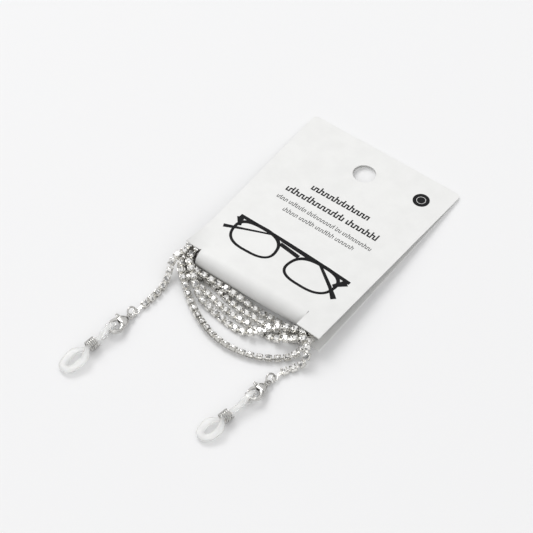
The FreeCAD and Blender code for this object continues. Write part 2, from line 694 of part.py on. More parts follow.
def temple_loop_corners(side):
    """Corners of one strand from the clasp's bar to the tip; the other strand mirrors it."""
    roll = math.radians(ENDS[side]["temple_roll"])
    waist_end = -ENDS[side]["waist_end"]
    wide_x, wide_z = TEMPLE_HALF_WIDTH * math.cos(roll), TEMPLE_HALF_WIDTH * math.sin(roll)
    strand = [(0.0, 2.3, 1.7, 1.55), (0.0, -1.0, 1.7, 3.0), (0.5, -4.6, 0.6, 4.0),
              (0.5, waist_end, 0.6, 3.0), (wide_x, waist_end - 2.8, wide_z, 2.6),
              (wide_x, -ENDS[side]["tip"], wide_z, 3.1)]
    other = [(-x, y, -z, radius) for x, y, z, radius in reversed(strand)]
    return strand + other


def make_temple_loop(doc, size, side, frame):
    """A round silicone strand: a bight on the clasp's bar, a waist and the wide temple loop."""
    corners = temple_loop_corners(side)
    spine = rounded_loop([Vector(*c[:3]) for c in corners], [c[3] for c in corners])
    shells = []
    for edge in spine.Edges:
        start = edge.valueAt(edge.FirstParameter)
        along = edge.tangentAt(edge.FirstParameter)
        profile = Part.Wire([Part.makeCircle(size.silicone_radius, start, along)])
        shells += Part.Wire([edge]).makePipeShell([profile], False, True).Faces
    shell = Part.makeShell(shells)
    shell.sewShape()
    return solid_feature(doc, f"{side}_temple_loop", Part.makeSolid(shell.Shells[0]), frame)


def make_coil_slider(doc, size, side, frame):
    """A close-wound wire coil round the loop's waist."""
    body = doc.addObject("PartDesign::Body", f"{side}_coil_slider")
    wire = new_sketch(body, f"{side}CoilWire", "XZ_Plane")
    add_circle(wire, "coil_wire", size.coil_radius, 0.0, "coil_wire_radius",
               size.coil_wire_radius)
    coil = body.newObject("PartDesign::AdditiveHelix", f"{side}Coil")
    coil.Profile = wire
    coil.ReferenceAxis = (wire, ["V_Axis"])
    coil.Mode = 0
    bind(coil, Pitch="coil_pitch", Height="coil_length")
    body.Tip = coil
    centre = Vector(0, -ENDS[side]["coil_place"] - size.coil_length / 2.0, 0)
    body.Placement = frame.multiply(Placement(centre, Rotation(Vector(1, 0, 0), -90)))
    return body


def make_end(doc, size, side, last_cup):
    """Every piece that hangs on one end of the chain."""
    frames = end_frames(size, side, last_cup)
    return [
        make_connector(doc, side, frames["connector"]),
        make_jump_ring(doc, side, frames["ring"]),
        make_clasp_body(doc, size, side, frames["clasp"]),
        make_lever(doc, size, side, frames["clasp"]),
        make_rivet(doc, size, side, frames["clasp"]),
        make_lever_spring(doc, side, frames["clasp"]),
        make_temple_loop(doc, size, side, frames["loop"]),
        make_coil_slider(doc, size, side, frames["loop"]),
    ]


# ---------------------------------------------------------------- build and export

def export(doc, nodes):
    """Check every object of the document, then write one STEP file per node."""
    for obj in doc.Objects:
        if "Invalid" in obj.State or "Error" in obj.State:
            raise RuntimeError(f"{obj.Name} did not recompute")
    os.makedirs("parts", exist_ok=True)
    for node in nodes:
        if node.Shape.isNull() or not node.Shape.isValid():
            raise RuntimeError(f"{node.Name} has no valid shape")
        node.Label = node.Name
        node.Shape.exportStep(f"parts/{node.Name}.step")
        print(node.Name, len(node.Shape.Solids), round(node.Shape.Volume, 3))


def main():
    doc = FreeCAD.newDocument("EyeglassRetainer")
    size = make_sheet(doc)
    nodes = [make_back_panel(doc, size), make_front_panel(doc, size), make_fold_spine(doc, size)]
    chain, first_cup, last_cup = make_chain(doc, size)
    nodes += chain
    nodes += make_end(doc, size, "left", first_cup)
    nodes += make_end(doc, size, "right", last_cup)
    doc.recompute()
    export(doc, nodes)


main()
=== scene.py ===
import math
import random

import bmesh
import bpy
from mathutils import Matrix, Vector


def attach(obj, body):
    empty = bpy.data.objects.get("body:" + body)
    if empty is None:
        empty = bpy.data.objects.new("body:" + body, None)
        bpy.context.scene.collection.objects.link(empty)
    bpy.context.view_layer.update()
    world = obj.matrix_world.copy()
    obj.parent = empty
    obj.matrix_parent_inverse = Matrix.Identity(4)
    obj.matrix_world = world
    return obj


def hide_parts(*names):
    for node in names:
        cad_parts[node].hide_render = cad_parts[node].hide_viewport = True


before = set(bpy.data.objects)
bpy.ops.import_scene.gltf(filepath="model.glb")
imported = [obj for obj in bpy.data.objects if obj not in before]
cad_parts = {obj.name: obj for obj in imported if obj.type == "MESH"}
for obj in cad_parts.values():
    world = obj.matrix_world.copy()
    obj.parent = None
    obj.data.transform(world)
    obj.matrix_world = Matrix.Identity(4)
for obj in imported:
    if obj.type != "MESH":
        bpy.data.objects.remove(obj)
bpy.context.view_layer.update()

MM = 0.001
random.seed(7)

# ---- sizes, in millimetres

CARD_TOP = 12.0
CARD_LENGTH = 80.0
CARD_WIDTH = 60.0
CARD_TAPER = 3.0
CARD_CENTRE = 1.2
CARD_SLANT = 0.5
CARD_THICKNESS = 0.35
CORNER_RADIUS = 1.8
HOLE_RADIUS = 4.0
FRONT_RISE = 7.1
FRONT_ARCH = 2.3
FOLD_Y = -61.2
EAR_WIDTH = 6.0
EAR_SLANT = 0.8
EAR_CURL = 3.6
CURL_X = (-21.5, -28.5)
CURL_Y = (-46.0, -63.2)
EAR_ROWS = {"left": [FOLD_Y, -61.6, -62.0, -62.3, -62.6],
            "right": [FOLD_Y, -62.5, -63.8, -65.1, -66.4, -67.2, CARD_TOP - CARD_LENGTH]}
TONGUE_LEFT = -22.7
TONGUE_RIGHT = 20.3
SLIT = 0.25
INK_LIFT = 0.03
INK_THICKNESS = 0.02
LENS_SIDES = 56
WORD_GAP = 1.6
LOW_LETTER = 0.66

PITCH = 3.0
CUP_HALF = 1.12
CUP_BOTTOM = -0.95
CUP_RIM = 0.30
CUP_WALL = 0.20
CLAW_TOP = 0.82
GIRDLE_RADIUS = 1.03
GIRDLE_Z = 0.44
TABLE_RADIUS = 0.60
TABLE_Z = 0.95
STAR_RADIUS = 0.84
STAR_Z = 0.78
PAVILION_Z = -0.58
LINK_HALF_LENGTH = 0.40
LINK_LOW = -0.74
LINK_HIGH = -0.44

# ---- the chain's route

TURN_Y = -62.5
TURN_X = {"left": -20.9, "right": 18.5}
TURN_RADIUS = {"in": 4.3, "out": 6.9}
LAYER_Z = {"A": 1.33, "B": 3.30, "C": 5.27}
WINDING = [("out", "C"), ("out", "B"), ("out", "A"), ("in", "A"), ("in", "B"), ("in", "C")]
POLYGON_REACH = 1.0 / math.cos(math.radians(22.5))

# Points of the strands in front of the fold, right to left, and of both free tails:
# x, y, z and the lean of the stones, in degrees.
FRONT_STRANDS = [
    [(25.4, -62.5, 5.30, 0), (25.6, -66.4, 5.35, 0), (26.1, -69.6, 4.70, 4),
     (25.2, -72.8, 2.50, 12), (23.5, -75.8, 1.20, 20), (20.7, -78.6, 1.10, 28),
     (16.4, -81.5, 1.10, 36), (10.5, -83.5, 1.10, 44), (4.2, -84.1, 1.10, 48),
     (-2.3, -83.3, 1.10, 46), (-8.3, -81.1, 1.10, 40), (-14.0, -77.9, 1.10, 28),
     (-18.4, -74.8, 1.80, 14), (-21.9, -72.2, 3.30, 6), (-25.6, -69.2, 3.35, 0),
     (-27.8, -65.6, 3.30, 0), (-27.8, -62.5, 3.30, 0)],
    [(25.4, -62.5, 3.30, 0), (25.2, -65.4, 3.30, 0), (22.6, -68.9, 3.30, 2),
     (20.0, -71.3, 3.30, 4), (17.1, -73.0, 2.90, 0), (13.8, -73.2, 1.10, 4),
     (9.0, -73.1, 0.98, 5), (3.0, -73.1, 0.98, -5), (-4.0, -72.9, 0.98, 6),
     (-9.8, -71.7, 0.98, -3), (-15.6, -70.2, 1.00, 5), (-20.6, -69.7, 1.25, 0),
     (-25.0, -68.6, 1.33, 0), (-27.8, -65.4, 1.33, 0), (-27.8, -62.5, 1.33, 0)],
    [(25.4, -62.5, 1.33, 0), (25.4, -65.4, 1.33, 0), (22.6, -69.0, 1.33, 0),
     (18.5, -69.8, 1.15, 4), (12.0, -69.9, 0.98, -5), (5.0, -69.9, 0.98, 6),
     (-2.0, -69.8, 0.98, -3), (-7.6, -68.6, 0.98, 5), (-13.0, -67.0, 1.00, 0),
     (-18.8, -66.8, 1.28, 0), (-22.8, -66.8, 1.33, 0), (-25.2, -64.3, 1.33, 0),
     (-25.2, -62.5, 1.33, 0)],
    [(22.8, -62.5, 1.33, 0), (22.8, -64.3, 1.33, 0), (20.3, -66.8, 1.33, 0),
     (16.5, -66.8, 1.05, 5), (11.0, -66.8, 0.98, 8), (5.0, -66.8, 1.00, -4),
     (0.5, -66.9, 1.60, 0), (-4.0, -67.0, 3.00, 0), (-9.0, -66.9, 3.10, -4),
     (-14.0, -66.8, 3.05, 4), (-18.8, -66.8, 3.25, 0), (-22.8, -66.8, 3.30, 0),
     (-25.2, -64.3, 3.30, 0), (-25.2, -62.5, 3.30, 0)],
    [(22.8, -62.5, 3.30, 0), (22.8, -64.3, 3.30, 0), (20.3, -66.8, 3.30, 0),
     (16.6, -67.7, 3.30, 4), (13.4, -70.2, 3.20, 2), (11.0, -73.4, 3.15, -3),
     (8.4, -76.3, 2.90, 0), (4.6, -77.0, 1.10, -5), (-0.5, -76.7, 0.98, 6),
     (-5.6, -75.9, 0.98, 6), (-10.0, -75.1, 1.40, 6), (-13.5, -74.3, 2.30, 6),
     (-16.6, -72.6, 3.60, 4), (-19.2, -70.3, 5.00, 2), (-21.8, -68.2, 5.50, 0),
     (-24.2, -66.4, 5.30, 0), (-25.2, -64.2, 5.27, 0), (-25.2, -62.5, 5.27, 0)],
]
LEFT_TAIL = [(-27.2, -86.2, 1.05, 6), (-26.8, -83.4, 1.05, 10), (-26.6, -79.4, 1.05, 14),
             (-26.8, -76.2, 1.10, 12), (-27.6, -72.9, 2.20, 8), (-28.9, -69.9, 4.50, 3),
             (-29.0, -67.0, 5.30, 0), (-28.0, -64.6, 5.30, 0), (-27.8, -62.5, 5.27, 0)]
RIGHT_TAIL = [(22.8, -62.5, 5.27, 0), (22.8, -66.0, 5.35, 0), (23.3, -69.0, 6.60, 0),
              (25.6, -71.0, 6.85, 4), (28.2, -72.7, 5.45, 6), (29.1, -75.0, 3.10, 10),
              (28.0, -77.2, 1.60, 14), (26.4, -79.2, 1.05, 12), (25.2, -81.4, 1.05, 12)]


def quarter_turn(side, track, layer):
    """Control points of the hidden quarter turn between a side column and its hidden row."""
    reach = TURN_RADIUS[track] * POLYGON_REACH
    sign = -1.0 if side == "left" else 1.0
    points = []
    for angle in (22.5, 67.5):
        turn = math.radians(angle)
        x = TURN_X[side] + sign * reach * math.cos(turn)
        y = TURN_Y + reach * math.sin(turn)
        points.append((x, y, LAYER_Z[layer], 0))
    return points


def hidden_row(track, layer):
    """Control points of one strand inside the fold, left to right."""
    y = TURN_Y + TURN_RADIUS[track]
    straight = [(x, y, LAYER_Z[layer], 0) for x in (-15.0, -1.0, 12.5)]
    return quarter_turn("left", track, layer) + straight + quarter_turn("right", track, layer)[::-1]


def route_points():
    """Control points of the whole winding, from the left tail's end to the right tail's end."""
    route = list(LEFT_TAIL)
    for number, (track, layer) in enumerate(WINDING):
        route += hidden_row(track, layer)
        route += FRONT_STRANDS[number] if number < len(FRONT_STRANDS) else RIGHT_TAIL
    return route


def spline_points(controls, closed=False):
    """Points of the smooth quadratic spline that a list of control points gives."""
    curve = bpy.data.curves.new("route", "CURVE")
    curve.dimensions = "3D"
    curve.resolution_u = 24
    spline = curve.splines.new("NURBS")
    spline.points.add(len(controls) - 1)
    for point, control in zip(spline.points, controls):
        point.co = (*control, 1.0)
    spline.order_u = 3
    spline.use_endpoint_u = not closed
    spline.use_cyclic_u = closed
    holder = bpy.data.objects.new("route", curve)
    mesh = bpy.data.meshes.new_from_object(holder)
    points = [v.co.copy() for v in mesh.vertices]
    bpy.data.objects.remove(holder)
    bpy.data.curves.remove(curve)
    bpy.data.meshes.remove(mesh)
    return points


def resting(point, lean):
    """The point raised, where it has to be, so that a cup leaned there rests on what is below."""
    turn = math.radians(abs(lean))
    on_card = point.y > CARD_TOP - CARD_LENGTH - CUP_HALF and abs(point.x) > TONGUE_RIGHT
    below = CARD_THICKNESS if on_card else 0.0
    rest = below - CUP_BOTTOM * math.cos(turn) + CUP_HALF * math.sin(turn) + 0.02
    return Vector((point.x, point.y, max(point.z, rest)))


def chain_stations():
    """Cup centres, one pitch apart along the route, and how far each cup leans."""
    controls = route_points()
    line = spline_points([c[:3] for c in controls])
    leans = [p.x for p in spline_points([(c[3], 0, 0) for c in controls])]
    centres, angles = [line[0]], [leans[0]]
    walked, target = 0.0, PITCH
    for i in range(1, len(line)):
        step = (line[i] - line[i - 1]).length
        while walked + step >= target:
            share = (target - walked) / step
            centres.append(line[i - 1].lerp(line[i], share))
            angles.append(leans[i - 1] + (leans[i] - leans[i - 1]) * share)
            target += PITCH
        walked += step
    centres = [resting(c, a) for c, a in zip(centres, angles)]
    return centres, angles


def frame_at(centre, ahead, lean):
    """A matrix with x along the chain and z up, leaned about the chain, placed at centre."""
    x_axis = ahead.normalized()
    y_axis = Vector((0, 0, 1)).cross(x_axis).normalized()
    z_axis = x_axis.cross(y_axis)
    turn = Matrix((x_axis, y_axis, z_axis)).transposed().to_4x4()
    return Matrix.Translation(centre) @ turn @ Matrix.Rotation(math.radians(lean), 4, "X")


# ---- mesh helpers

def add_object(name, verts, faces, material, smooth=None):
    """A mesh object from points in millimetres; smooth is the angle that stays sharp."""
    mesh = bpy.data.meshes.new(name)
    mesh.from_pydata([Vector(v) * MM for v in verts], [], faces)
    mesh.validate()
    if smooth is not None:
        mesh.shade_smooth()
        mesh.set_sharp_from_angle(angle=math.radians(smooth))
    mesh.materials.append(material)
    obj = bpy.data.objects.new(name, mesh)
    bpy.context.scene.collection.objects.link(obj)
    return obj


def enlarged(lists):
    """Lists whose object comes out in millimetres, the scale at which the modifiers work well."""
    verts, faces = lists
    return [Vector(v) / MM for v in verts], faces


def mesh_lists(bm):
    """Vertices and faces of a bmesh as plain lists."""
    bm.verts.index_update()
    return [v.co.copy() for v in bm.verts], [[v.index for v in f.verts] for f in bm.faces]


def repeated(pattern, matrices):
    """One pattern's vertices and faces, copied to every matrix."""
    verts, faces = [], []
    base_verts, base_faces = pattern
    for matrix in matrices:
        start = len(verts)
        verts += [matrix @ v for v in base_verts]
        faces += [[start + i for i in face] for face in base_faces]
    return verts, faces


def joined(*parts):
    """Several (vertices, faces) pairs as one."""
    verts, faces = [], []
    for part_verts, part_faces in parts:
        start = len(verts)
        verts += part_verts
        faces += [[start + i for i in face] for face in part_faces]
    return verts, faces


def moved(part, matrix):
    """The same faces, with every vertex carried by the matrix."""
    return [matrix @ v for v in part[0]], part[1]


def ring_stack(rings, loop=False, twist=0):
    """A skin over rings of the same number of points; twist shifts the join of a closed loop."""
    count = len(rings[0])
    verts = [Vector(p) for ring in rings for p in ring]
    faces = []
    last = len(rings) if loop else len(rings) - 1
    for r in range(last):
        a, b = r * count, ((r + 1) % len(rings)) * count
        shift = twist if r == len(rings) - 1 else 0
        for i in range(count):
            j = (i + 1) % count
            faces.append([a + i, a + j, b + (j + shift) % count, b + (i + shift) % count])
    if not loop:
        faces.append(list(range(count))[::-1])
        faces.append([(len(rings) - 1) * count + i for i in range(count)])
    return verts, faces


def swept(path, section, up=Vector((0, 0, 1))):
    """A skin along a path. section(share) gives the (across, upward) offsets at each point."""
    last = len(path) - 1
    rings = []
    side = None
    for i, point in enumerate(path):
        ahead = (path[min(i + 1, last)] - path[max(i - 1, 0)]).normalized()
        if side is None:
            side = ahead.cross(up).normalized()
        side = (side - ahead * side.dot(ahead)).normalized()
        lift = side.cross(ahead)
        rings.append([point + side * a + lift * b for a, b in section(i / last)])
    return ring_stack(rings)


def round_section(radius, sides):
    """Offsets of a round section."""
    turns = [2 * math.pi * k / sides for k in range(sides)]
    offsets = [(radius * math.cos(t), radius * math.sin(t)) for t in turns]
    return lambda share: offsets


def bevelled_box(low, high, bevel):
    """A box with rounded edges."""
    bm = bmesh.new()
    bmesh.ops.create_cube(bm, size=1.0)
    for v in bm.verts:
        v.co = Vector([low[k] + (high[k] - low[k]) * (v.co[k] + 0.5) for k in range(3)])
    bmesh.ops.bevel(bm, geom=bm.edges[:], offset=bevel, segments=2, profile=0.5, affect="EDGES")
    lists = mesh_lists(bm)
    bm.free()
    return lists


# ---- materials

def new_material(name, **inputs):
    """A material with one Principled shader, its sockets set by name."""
    material = bpy.data.materials.new(name)
    material.use_nodes = True
    shader = material.node_tree.nodes["Principled BSDF"]
    for socket, value in inputs.items():
        shader.inputs[socket.replace("_", " ")].default_value = value
    return material, material.node_tree, shader


def add_node(tree, kind, **settings):
    """A node with its properties and unlinked inputs set."""
    node = tree.nodes.new(kind)
    for key, value in settings.items():
        if hasattr(node, key):
            setattr(node, key, value)
        else:
            node.inputs[key.replace("_", " ")].default_value = value
    return node


def noise_ramp(tree, scale, low, high, detail=3.0, start=0.35, end=0.65):
    """Object-space noise mapped between two colours; returns the ramp's output."""
    coords = add_node(tree, "ShaderNodeTexCoord")
    noise = add_node(tree, "ShaderNodeTexNoise", Scale=scale, Detail=detail)
    ramp = add_node(tree, "ShaderNodeValToRGB")
    ramp.color_ramp.elements[0].position = start
    ramp.color_ramp.elements[1].position = end
    ramp.color_ramp.elements[0].color = (*low, 1)
    ramp.color_ramp.elements[1].color = (*high, 1)
    tree.links.new(coords.outputs["Object"], noise.inputs["Vector"])
    tree.links.new(noise.outputs["Fac"], ramp.inputs["Fac"])
    return ramp.outputs["Color"]


def add_bump(tree, shader, scale, strength, distance):
    """Fine object-space relief on a shader's normal."""
    coords = add_node(tree, "ShaderNodeTexCoord")
    noise = add_node(tree, "ShaderNodeTexNoise", Scale=scale, Detail=4.0)
    bump = add_node(tree, "ShaderNodeBump", Strength=strength, Distance=distance)
    tree.links.new(coords.outputs["Object"], noise.inputs["Vector"])
    tree.links.new(noise.outputs["Fac"], bump.inputs["Height"])
    tree.links.new(bump.outputs["Normal"], shader.inputs["Normal"])


def card_material():
    """Coated white board: a faint mottle, a satin surface and a fine fibre relief."""
    material, tree, shader = new_material("card_board", Roughness=0.5, Specular_IOR_Level=0.35)
    colour = noise_ramp(tree, 180.0, (0.795, 0.795, 0.785), (0.825, 0.825, 0.815))
    tree.links.new(colour, shader.inputs["Base Color"])
    rough = noise_ramp(tree, 900.0, (0.45, 0.45, 0.45), (0.58, 0.58, 0.58))
    tree.links.new(rough, shader.inputs["Roughness"])
    add_bump(tree, shader, 2600.0, 0.12, 0.00002)
    return material


def ink_material():
    """Black offset ink, a little uneven in tone."""
    material, tree, shader = new_material("black_ink", Roughness=0.6, Specular_IOR_Level=0.12)
    colour = noise_ramp(tree, 2500.0, (0.006, 0.006, 0.007), (0.014, 0.014, 0.015))
    tree.links.new(colour, shader.inputs["Base Color"])
    add_bump(tree, shader, 5200.0, 0.08, 0.00001)
    return material


def metal_material(name, low, high, rough_low, rough_high, scale):
    """Bright plated metal with slightly uneven tone and polish."""
    material, tree, shader = new_material(name, Metallic=1.0)
    colour = noise_ramp(tree, scale, low, high)
    tree.links.new(colour, shader.inputs["Base Color"])
    rough = noise_ramp(tree, scale * 2.3, (rough_low,) * 3, (rough_high,) * 3)
    tree.links.new(rough, shader.inputs["Roughness"])
    add_bump(tree, shader, scale * 6.0, 0.10, 0.00002)
    return material


def stone_material():
    """Foil-backed crystal: bright facets under a hard clear surface, with painted reflections:
    noise in its colour paints dark grey and white patches that stand in for the facets' sparkle.
    """
    material, tree, shader = new_material("clear_stone", Metallic=0.82, Roughness=0.03,
                                          Coat_Weight=1.0, Coat_Roughness=0.01, IOR=1.55)
    # painted reflections: patches from dark grey to white in place of the facets' sparkle
    colour = noise_ramp(tree, 900.0, (0.30, 0.30, 0.30), (1.0, 0.99, 0.97), 1.0, 0.36, 0.52)
    tree.links.new(colour, shader.inputs["Base Color"])
    return material


def silicone_material():
    """Milky, slightly clouded silicone with a soft gloss."""
    material, tree, shader = new_material("silicone", Roughness=0.28, IOR=1.41, Alpha=0.62,
                                          Transmission_Weight=0.35, Subsurface_Weight=0.5,
                                          Subsurface_Scale=0.002)
    shader.inputs["Subsurface Radius"].default_value = (1.0, 0.95, 0.9)
    colour = noise_ramp(tree, 300.0, (0.90, 0.90, 0.885), (0.97, 0.97, 0.955))
    tree.links.new(colour, shader.inputs["Base Color"])
    add_bump(tree, shader, 1500.0, 0.08, 0.00004)
    return material


# ---- chain

def cup_pattern():
    """One square cup: thin walls with dipped rims, a floor and four claws over the stone."""
    half = CUP_HALF
    inner = half - CUP_WALL
    parts = []
    floor = bevelled_box((-half, -half, CUP_BOTTOM), (half, half, CUP_BOTTOM + 0.25), 0.06)
    parts.append(floor)
    for turn in range(4):
        matrix = Matrix.Rotation(math.radians(90 * turn), 4, "Z")
        wall = bevelled_box((-half, inner, CUP_BOTTOM + 0.1), (half, half, CUP_RIM), 0.05)
        parts.append(moved(wall, matrix))
        claw = claw_pattern()
        parts.append(moved(claw, matrix))
    return joined(*parts)


def claw_pattern():
    """A corner claw that leans over the stone's girdle."""
    outer, width = CUP_HALF, 0.40
    levels = [(CUP_RIM - 0.25, 0.0, 0.0), (0.44, 0.0, 0.0), (0.66, 0.05, 0.03),
              (CLAW_TOP - 0.06, 0.16, 0.06), (CLAW_TOP, 0.22, 0.12)]
    rings = []
    for z, lean, shrink in levels:
        low, high = outer - width + shrink - lean, outer - shrink - lean
        cut = 0.08
        rings.append([(low, low + cut, z), (low + cut, low, z), (high - cut, low, z),
                      (high, low + cut, z), (high, high - cut, z), (high - cut, high, z),
                      (low + cut, high, z), (low, high - cut, z)])
    return ring_stack(rings)


def stone_pattern():
    """A round brilliant: table, star and kite facets, girdle and pointed pavilion."""
    sides = 8
    step = 2 * math.pi / sides
    faces = []
    table = [Vector((TABLE_RADIUS * math.cos(step * k), TABLE_RADIUS * math.sin(step * k),
                     TABLE_Z)) for k in range(sides)]
    middle = [Vector((STAR_RADIUS * math.cos(step * (k + 0.5)),
                      STAR_RADIUS * math.sin(step * (k + 0.5)), STAR_Z))
              for k in range(sides)]
    rim_sides = 2 * sides
    girdle_high = [Vector((GIRDLE_RADIUS * math.cos(step * k / 2),
                           GIRDLE_RADIUS * math.sin(step * k / 2), GIRDLE_Z + 0.1))
                   for k in range(rim_sides)]
    girdle_low = [Vector((v.x, v.y, GIRDLE_Z)) for v in girdle_high]
    culet = [Vector((0, 0, PAVILION_Z))]
    verts = table + middle + girdle_high + girdle_low + culet
    first_middle, first_high = sides, 2 * sides
    first_low = first_high + rim_sides
    tip = first_low + rim_sides
    faces.append(list(range(sides)))
    for k in range(sides):
        following = (k + 1) % sides
        crest = first_middle + k
        before = first_middle + (k - 1) % sides
        high = [first_high + (2 * k + n) % rim_sides for n in range(3)]
        faces.append([k, crest, following])
        faces.append([k, before, high[0], crest])
        faces.append([crest, high[0], high[1]])
        faces.append([crest, high[1], high[2]])
    for k in range(rim_sides):
        after = (k + 1) % rim_sides
        faces.append([first_high + k, first_low + k, first_low + after, first_high + after])
        faces.append([first_low + k, tip, first_low + after])
    return verts, faces


def link_pattern():
    """The bar that joins two cups, waisted in the middle."""
    rings = []
    for share, half in ((-1.0, 0.42), (-0.6, 0.40), (0.0, 0.30), (0.6, 0.40), (1.0, 0.42)):
        x = LINK_HALF_LENGTH * share
        rings.append([(x, -half, LINK_LOW), (x, half, LINK_LOW),
                      (x, half, LINK_HIGH), (x, -half, LINK_HIGH)])
    return ring_stack(rings)


def build_chain(silver, stone):
    """Cups, stones and links of the whole chain, with the cups' centres."""
    centres, leans = chain_stations()
    count = len(centres)
    cups, links = [], []
    for i in range(count):
        ahead = centres[min(i + 1, count - 1)] - centres[max(i - 1, 0)]
        cups.append(frame_at(centres[i], ahead, leans[i]))
    for i in range(count - 1):
        middle = (centres[i] + centres[i + 1]) / 2
        links.append(frame_at(middle, centres[i + 1] - centres[i], leans[i]))
    cup_piece = add_object("chain_cups", *repeated(cup_pattern(), cups), silver, 40)
    spun = [m @ Matrix.Rotation(random.uniform(0, math.pi), 4, "Z")
            @ Matrix.Rotation(math.radians(random.uniform(-2.5, 2.5)), 4, "X") for m in cups]
    stone_piece = add_object("chain_stones", *repeated(stone_pattern(), spun), stone)
    link_piece = add_object("chain_link_bars", *repeated(link_pattern(), links), silver)
    runs = ("wound_chain", "left_tail", "right_tail")
    for piece, group, slot in ((cup_piece, "cups", "chain_silver"),
                               (stone_piece, "stones", "clear_stone"),
                               (link_piece, "links", "chain_silver")):
        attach(piece, "carded_chain")
        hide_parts(*[f"{run}_{group}" for run in runs])
    return cup_piece, stone_piece, link_piece, centres


# ---- end assemblies

ENDS = {
    "left": {"chain_heading": 6.0, "ring_roll": 0.0, "clasp_heading": 13.0, "clasp_pitch": 7.0,
             "clasp_roll": 0.0, "loop_heading": 8.0, "loop_pitch": -1.4,
             "coil_place": 7.7, "waist_end": 10.6, "tip": 20.6},
    "right": {"chain_heading": 12.0, "ring_roll": 14.0, "clasp_heading": 9.0, "clasp_pitch": 7.0,
              "clasp_roll": -8.0, "loop_heading": 11.0, "loop_pitch": -1.4,
              "coil_place": 10.0, "waist_end": 12.1, "tip": 20.9},
}
CONNECTOR_REACH = 4.2
CONNECTOR_EYE = 0.95
RING_RADIUS = 1.65
RING_WIRE = 0.32
TAIL_DROP = 0.6
RING_LEAN = {"left": 46.0, "right": 52.0}
BAR_SIDE = 0.2
LOOP_SIDE = 0.15
HOOK_CENTRE = -6.6
HOOK_RADIUS = 2.45
LEVER_PIVOT = (-1.25, -3.1)
LEVER = [(-0.75, -2.55), (-0.72, -3.6), (-1.55, -5.6), (-1.75, -7.15), (-2.3, -7.2),
         (-2.45, -5.4), (-2.05, -3.7), (-3.35, -3.35), (-3.45, -2.75), (-1.8, -2.45)]
LEVER_HALF = 0.38
SLOT_HALF = 0.45
TEMPLE_HALF_WIDTH = 3.3
TEMPLE_ROLL = {"left": 8.0, "right": 5.0}
TEMPLE_DROOP = 0.75
COIL_RADIUS = 1.88
COIL_WIRE = 0.235
COIL_PITCH = 0.684
COIL_TURNS = 5


def end_frame(centre, heading, pitch=0.0, roll=0.0):
    """A frame whose -Y runs along the heading, lifted by the pitch and rolled about itself."""
    turn = Matrix.Rotation(math.radians(-heading), 4, "Z")
    turn = turn @ Matrix.Rotation(math.radians(-pitch), 4, "X")
    turn = turn @ Matrix.Rotation(math.radians(roll), 4, "Y")
    return Matrix.Translation(centre) @ turn


def end_frames(side, last_cup):
    """The frames of one end's connector, ring, clasp and temple loop, each hung on the last."""
    lie = ENDS[side]
    connector = end_frame(last_cup, lie["chain_heading"])
    eye = connector @ Vector((0, -CONNECTOR_REACH, 0))
    drop = RING_RADIUS + RING_WIRE - eye.z
    ring_step = math.sqrt(RING_RADIUS ** 2 - drop ** 2)
    ring_turn = end_frame(Vector((0, 0, 0)), lie["chain_heading"], roll=lie["ring_roll"])
    ring = Matrix.Translation(eye - ring_turn @ Vector((0, ring_step, -drop))) @ ring_turn
    tail_step = math.sqrt(RING_RADIUS ** 2 - TAIL_DROP ** 2)
    tail = ring @ Vector((0, -tail_step, -TAIL_DROP))
    clasp = end_frame(tail, lie["clasp_heading"], lie["clasp_pitch"], lie["clasp_roll"])
    bar = clasp @ Vector((BAR_SIDE + LOOP_SIDE, HOOK_CENTRE - HOOK_RADIUS, 0))
    loop = end_frame(bar, lie["loop_heading"], lie["loop_pitch"])
    return {"connector": connector, "ring": ring, "clasp": clasp, "loop": loop}


def ellipse(across, upward, sides, power=1.0):
    """Offsets of an ellipse, or of a squarer form where the power is under 1."""
    points = []
    for k in range(sides):
        turn = 2 * math.pi * k / sides
        c, s = math.cos(turn), math.sin(turn)
        points.append((across * math.copysign(abs(c) ** power, c),
                       upward * math.copysign(abs(s) ** power, s)))
    return points


def turned_ring(radius, across, upward):
    """A ring round Z with an elliptical section."""
    rings = []
    for k in range(64):
        turn = 2 * math.pi * k / 64
        rings.append([((radius + a) * math.cos(turn), (radius + a) * math.sin(turn), b)
                      for a, b in ellipse(across, upward, 20)])
    return ring_stack(rings, loop=True)


def turned(profile):
    """A turned shape round Z from (radius, z) points."""
    turns = [2 * math.pi * k / 32 for k in range(32)]
    return ring_stack([[(r * math.cos(t), r * math.sin(t), z) for t in turns] for r, z in profile])


def plate(outline, half):
    """A flat plate in the XY plane, as thick as twice its half thickness."""
    return ring_stack([[(x, y, z) for x, y in outline] for z in (-half, half)])


def cast_object(name, lists, voxel, smoothing, material, matrix, cut=None):
    """Overlapping shapes fused into one skin with soft edges, as in a polished casting."""
    obj = add_object(name, *enlarged(lists), material)
    skin = obj.modifiers.new("skin", "REMESH")
    skin.mode = "VOXEL"
    skin.voxel_size = voxel
    soft = obj.modifiers.new("soft", "SMOOTH")
    soft.factor = 0.5
    soft.iterations = smoothing
    apply_modifiers(obj)
    if cut is not None:
        cut_away(obj, cut)
    obj.data.transform(Matrix.Scale(MM, 4) @ matrix)
    obj.data.shade_smooth()
    obj.data.set_sharp_from_angle(angle=math.radians(50))
    return obj


def placed(name, lists, material, matrix, smooth=40):
    """A mesh object whose lists are first carried into their place."""
    return add_object(name, *moved(lists, matrix), material, smooth)


